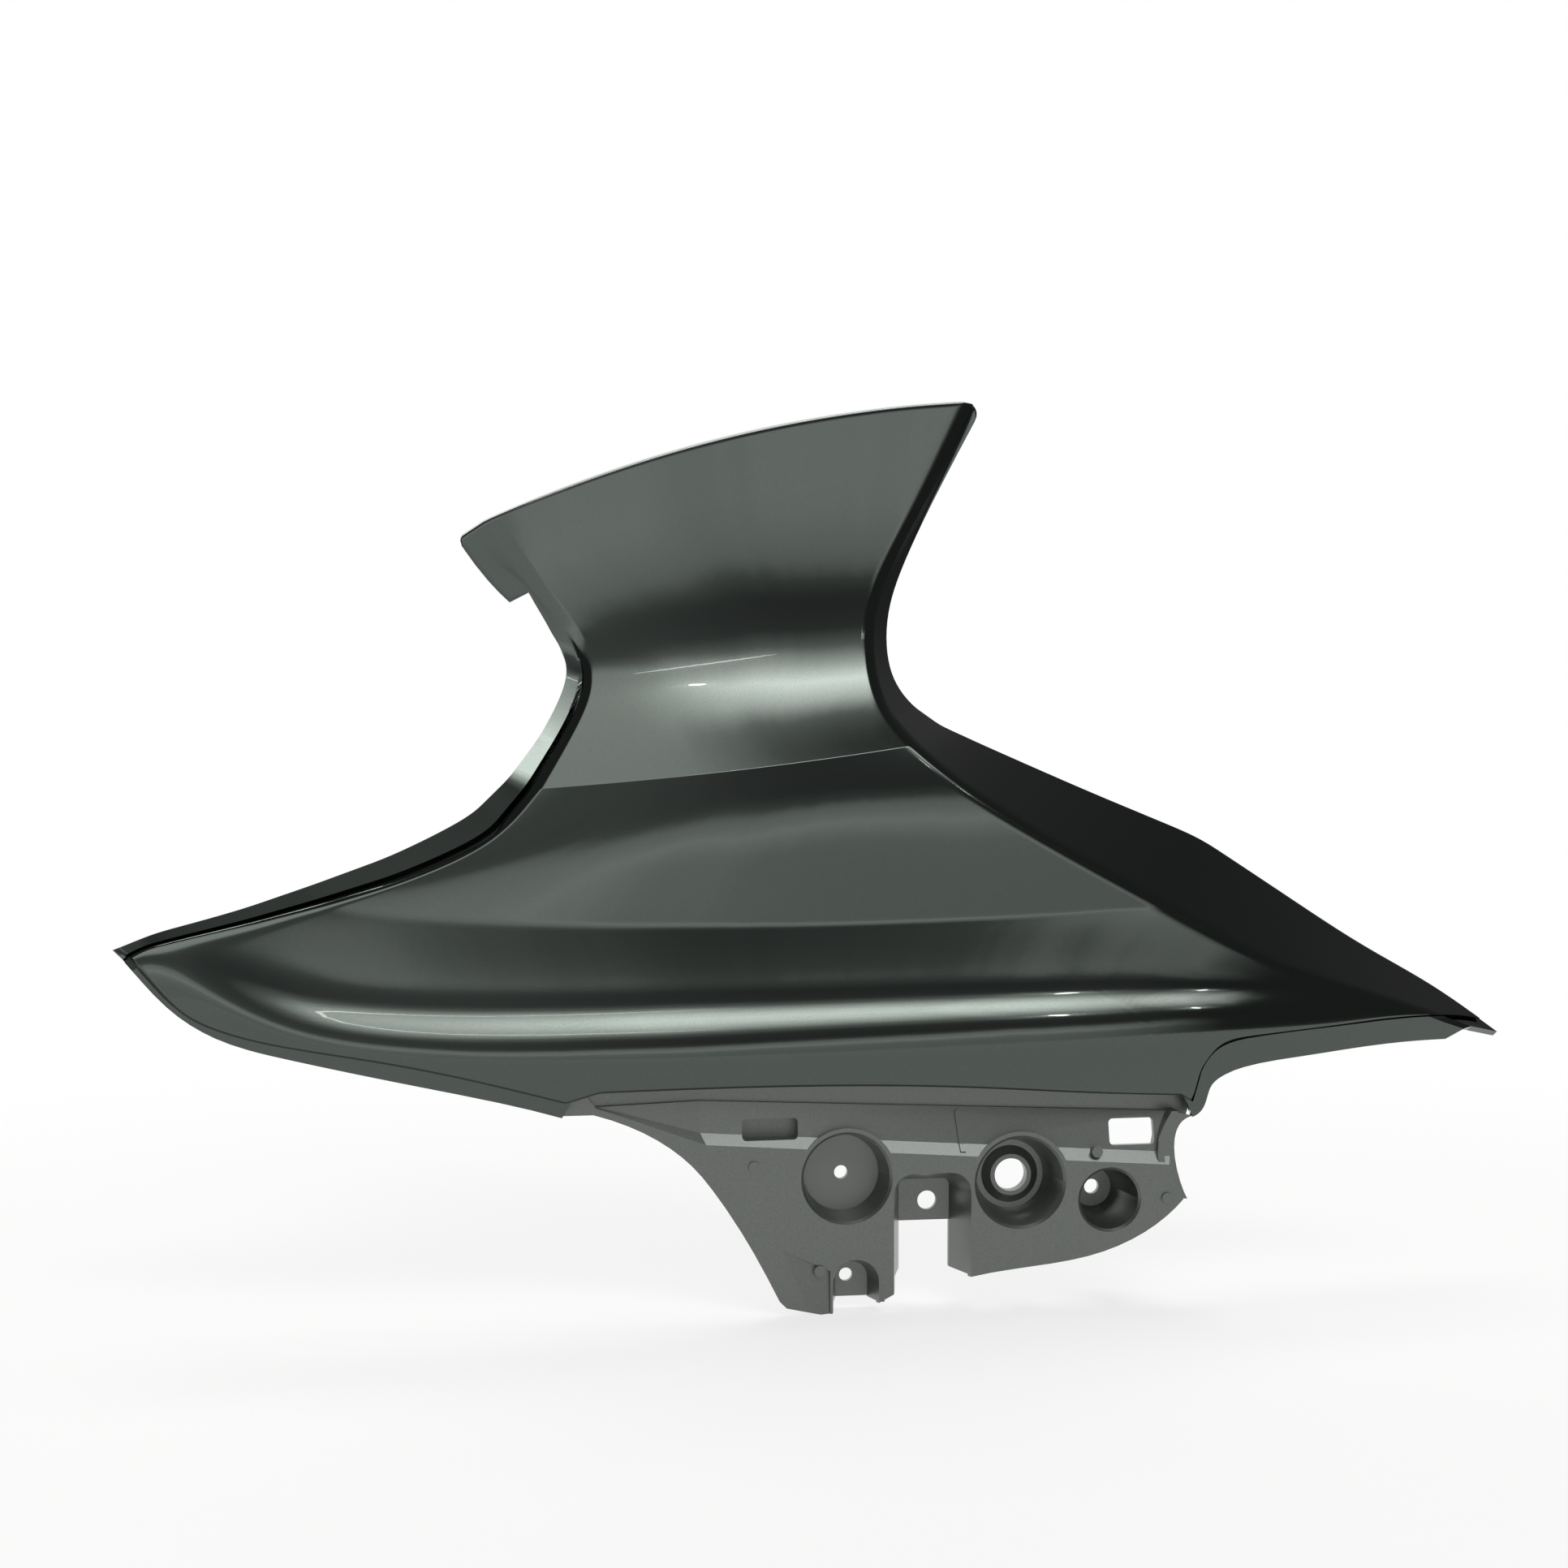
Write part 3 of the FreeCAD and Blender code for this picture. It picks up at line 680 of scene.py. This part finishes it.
ROOM_TURN = (-4, 9)         # where one goes over into the other, degrees to the right of straight ahead
DARK_SIDE = (16, 28)        # where the room ends in a dark wall on the right
DARK_LIFT = (22, 34, 12)    # above these heights it starts this much further to the right, all in degrees
DARK_LEFT = (-20, -36)      # where it ends on the left
DARK = 0.1
BACKDROP = (0.7, 0.85)      # the white backdrop starts where a direction points this far back
WHITE = 1.0
SKYLINE = 4.0               # how uneven the room's heights are, in degrees
SKYLINE_SCALE = 14.0
SKYLINE_DETAIL = 4.0


def uneven_height(tree, turn, z):
    # Height above the horizon, a little higher here and lower there on the way round.
    wave = tree.nodes.new("ShaderNodeTexNoise")
    wave.noise_dimensions = "1D"
    wave.inputs["Scale"].default_value = SKYLINE_SCALE
    wave.inputs["Detail"].default_value = SKYLINE_DETAIL
    tree.links.new(turn, wave.inputs["W"])
    uneven = math_node(tree, "MULTIPLY", math_node(tree, "SUBTRACT", wave.outputs["Fac"], 0.5),
                       math.radians(2 * SKYLINE))
    return math_node(tree, "ADD", math_node(tree, "ARCSINE", z), uneven)


def build_world():
    world = bpy.data.worlds.new("studio")
    bpy.context.scene.world = world
    world.use_nodes = True
    tree = world.node_tree
    direction = tree.nodes.new("ShaderNodeTexCoord").outputs["Generated"]
    split = tree.nodes.new("ShaderNodeSeparateXYZ")
    tree.links.new(direction, split.inputs[0])
    x, y, z = split.outputs
    turn = math_node(tree, "ARCTAN2", x, math_node(tree, "MULTIPLY", y, -1.0))
    height = uneven_height(tree, turn, z)
    share = tree.nodes.new("ShaderNodeMapRange")
    share.inputs["From Min"].default_value = -math.pi / 2
    share.inputs["From Max"].default_value = math.pi / 2
    tree.links.new(height, share.inputs["Value"])
    left = ramp_node(tree, share.outputs["Result"], ROOM_LEFT)
    right = ramp_node(tree, share.outputs["Result"], ROOM_RIGHT)
    room = mix(tree, smooth(tree, turn, *map(math.radians, ROOM_TURN)), left, right)
    low, high, lift = map(math.radians, DARK_LIFT)
    moved = math_node(tree, "SUBTRACT", turn,
                      math_node(tree, "MULTIPLY", smooth(tree, height, low, high), lift))
    for place, side in ((moved, DARK_SIDE), (turn, DARK_LEFT)):
        room = mix(tree, smooth(tree, place, *map(math.radians, side)), room, DARK)
    room = mix(tree, smooth(tree, y, *BACKDROP), room, WHITE)
    seen = tree.nodes.new("ShaderNodeLightPath").outputs["Is Camera Ray"]
    tree.links.new(mix(tree, seen, room, WHITE), tree.nodes["Background"].inputs["Color"])


# Lamps seen as small highlights: degrees to the right, degrees up, for one end and the other,
# width in degrees, brightness
LAMPS = [((-3, 37.5), (7, 33.5), 0.4, 9.0), ((1.0, 43.5), (2.2, 43.8), 0.7, 30.0),
         ((18.0, 28.3), (19.0, 28.3), 3.0, 20.0), ((27.6, 27.2), (28.6, 27.2), 3.0, 20.0)]
LAMP_DISTANCE = 6.0
# Soft light above and behind: degrees round and up, distance, size, power
SOFT_BOX = ((180, 72), 3.0, 2.0, 60.0)


def ahead(angles):
    right, up = (math.radians(a) for a in angles)
    return Vector((math.sin(right) * math.cos(up), -math.cos(right) * math.cos(up), math.sin(up)))


def build_lamps():
    middle = (Vector(cad_box[0]) + Vector(cad_box[1])) / 2
    for index, (start, end, width, level) in enumerate(LAMPS):
        a, b = ahead(start) * LAMP_DISTANCE, ahead(end) * LAMP_DISTANCE
        data = bpy.data.lights.new(f"lamp_{index}", "AREA")
        data.shape = "ELLIPSE"
        data.size = (b - a).length
        data.size_y = math.radians(width) * LAMP_DISTANCE
        area = math.pi / 4 * data.size * data.size_y
        data.energy = level * math.pi * area
        lamp = add_object(f"lamp_{index}", data)
        lamp.location = middle + (a + b) / 2
        back = ((a + b) / 2).normalized()
        along = (b - a).normalized()
        lamp.rotation_euler = Matrix((along, back.cross(along), back)).transposed().to_euler()


def build_soft_box():
    angles, distance, size, power = SOFT_BOX
    data = bpy.data.lights.new("soft_box", "AREA")
    data.shape = "DISK"
    data.size = size
    data.energy = power
    lamp = add_object("soft_box", data)
    lamp.location = ahead(angles) * distance
    lamp.rotation_euler = lamp.location.to_track_quat("Z", "Y").to_euler()


FLOOR_COLOR = (0.86, 0.86, 0.85)
FLOOR_ROUGHNESS = 0.7
FLOOR_FADE = (0.35, 0.9)    # distance in metres over which the floor goes over into the white background
FLOOR_GLOW = 0.7            # share of white near the panel; the rest takes its shadow
FLOOR_RADIUS = 1.0
FLOOR_CORNERS = 64


def pale_floor():
    material, shader = principled("pale_floor", FLOOR_COLOR, metallic=0.0, roughness=FLOOR_ROUGHNESS)
    tree = material.node_tree
    nodes, links = tree.nodes, tree.links
    glow = nodes.new("ShaderNodeEmission")
    glow.inputs["Strength"].default_value = WHITE
    length = nodes.new("ShaderNodeVectorMath")
    length.operation = "LENGTH"
    links.new(nodes.new("ShaderNodeNewGeometry").outputs["Position"], length.inputs[0])
    far = smooth(tree, length.outputs["Value"], *FLOOR_FADE)
    share = math_node(tree, "ADD", math_node(tree, "MULTIPLY", far, 1 - FLOOR_GLOW), FLOOR_GLOW)
    path = nodes.new("ShaderNodeLightPath")
    seen = math_node(tree, "MAXIMUM", path.outputs["Is Camera Ray"], path.outputs["Is Glossy Ray"])
    blend = nodes.new("ShaderNodeMixShader")
    links.new(math_node(tree, "MULTIPLY", share, seen), blend.inputs[0])
    links.new(shader.outputs[0], blend.inputs[1])
    links.new(glow.outputs[0], blend.inputs[2])
    links.new(blend.outputs[0], nodes["Material Output"].inputs["Surface"])
    return material


def build_floor():
    height = cad_box[0][2]
    angles = [2 * math.pi * k / FLOOR_CORNERS for k in range(FLOOR_CORNERS)]
    corners = [(FLOOR_RADIUS * math.cos(a), FLOOR_RADIUS * math.sin(a), height) for a in angles]
    mesh = bpy.data.meshes.new("floor")
    mesh.from_pydata(corners, [], [range(FLOOR_CORNERS)])
    mesh.materials.append(pale_floor())
    add_object("floor", mesh)


def build_camera():
    data = bpy.data.cameras.new("camera")
    data.lens = LENS
    data.sensor_width = SENSOR
    camera = add_object("camera", data)
    camera.location = Vector(CAMERA) * MM
    look = (Vector(TARGET) - Vector(CAMERA)).to_track_quat("-Z", "Y")
    camera.rotation_euler = look.to_euler()
    bpy.context.scene.camera = camera


build_panel()
build_world()
build_lamps()
build_soft_box()
build_floor()
build_camera()
bpy.context.scene.view_settings.view_transform = "Standard"
